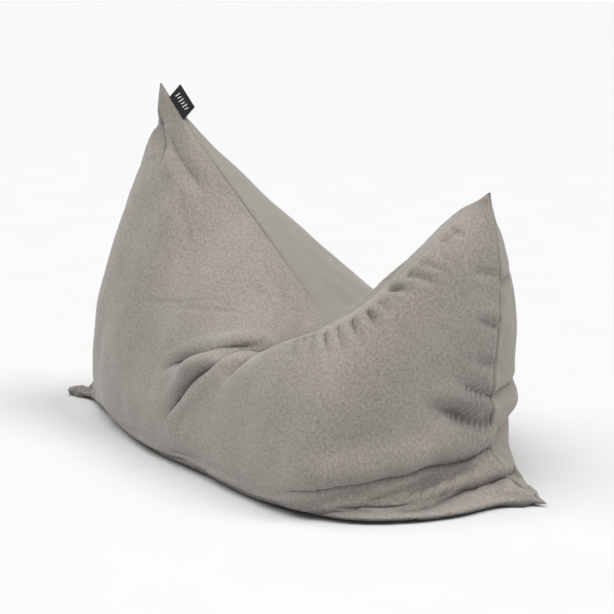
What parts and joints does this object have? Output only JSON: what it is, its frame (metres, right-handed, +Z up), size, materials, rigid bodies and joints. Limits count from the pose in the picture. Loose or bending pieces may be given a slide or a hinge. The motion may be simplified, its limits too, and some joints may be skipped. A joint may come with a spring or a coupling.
{
  "type": "bean bag chair",
  "caption": "Pillow-shaped fabric bean bag standing on its long edge, with a sunken seat between two ears, a folded side label and a zipped cover over a zipped liner.",
  "frame": {"origin": "centre of the cover's footprint, on the floor", "axes": "+X along the long floor seam towards the lower ear, +Y to the back where the zipper is, +Z up"},
  "size_m": [1.3004, 0.6797, 0.7422],
  "materials": {
    "cover_cloth": "warm grey woven upholstery cloth, matte",
    "cover_back_cloth": "smooth warm grey cloth, matte",
    "sewing_thread": "twisted polyester thread",
    "label_ribbon": "black woven ribbon",
    "care_ribbon": "white satin ribbon",
    "liner_cloth": "white polyester lining",
    "beads": "expanded polystyrene beads",
    "zipper_tape": "dark grey woven tape",
    "zipper_coil": "dark nylon coil",
    "zipper_metal": "gunmetal die casting"
  },
  "bodies": {
    "bag": {"bead_filling": "beads", "care_label": "care_ribbon", "cover_back_panel": "cover_back_cloth", "cover_front_panel": "cover_cloth", "cover_seam_thread": "sewing_thread", "cover_zipper_closed_end_stop": "zipper_metal", "cover_zipper_lower_coil": "zipper_coil", "cover_zipper_lower_tape": "zipper_tape", "cover_zipper_open_end_stop": "zipper_metal", "cover_zipper_upper_coil": "zipper_coil", "cover_zipper_upper_tape": "zipper_tape", "liner_back_panel": "liner_cloth", "liner_front_panel": "liner_cloth", "liner_seam_thread": "sewing_thread", "liner_zipper_closed_end_stop": "zipper_metal", "liner_zipper_lower_coil": "zipper_coil", "liner_zipper_lower_tape": "zipper_tape", "liner_zipper_open_end_stop": "zipper_metal", "liner_zipper_upper_coil": "zipper_coil", "liner_zipper_upper_tape": "zipper_tape", "side_label": "label_ribbon", "zipper_left_patch": "cover_cloth", "zipper_right_patch": "cover_cloth"},
    "cover_slider": {"cover_zipper_slider": "zipper_metal"},
    "cover_pull": {"cover_zipper_pull": "zipper_metal"},
    "liner_slider": {"liner_zipper_slider": "zipper_metal"}
  },
  "joints": [
    {"name": "cover_zip_slide", "type": "slide", "parent": "bag", "child": "cover_slider", "axis": [-1, 0, 0], "range_m": [0, 0.472]},
    {"name": "cover_pull_hinge", "type": "hinge", "parent": "cover_slider", "child": "cover_pull", "pos_m": [0.236, 0.33882, 0.105], "axis": [0, 0, -1], "range_deg": [0, 150]},
    {"name": "liner_zip_slide", "type": "slide", "parent": "bag", "child": "liner_slider", "axis": [-1, 0, 0], "range_m": [0, 0.372]}
  ]
}
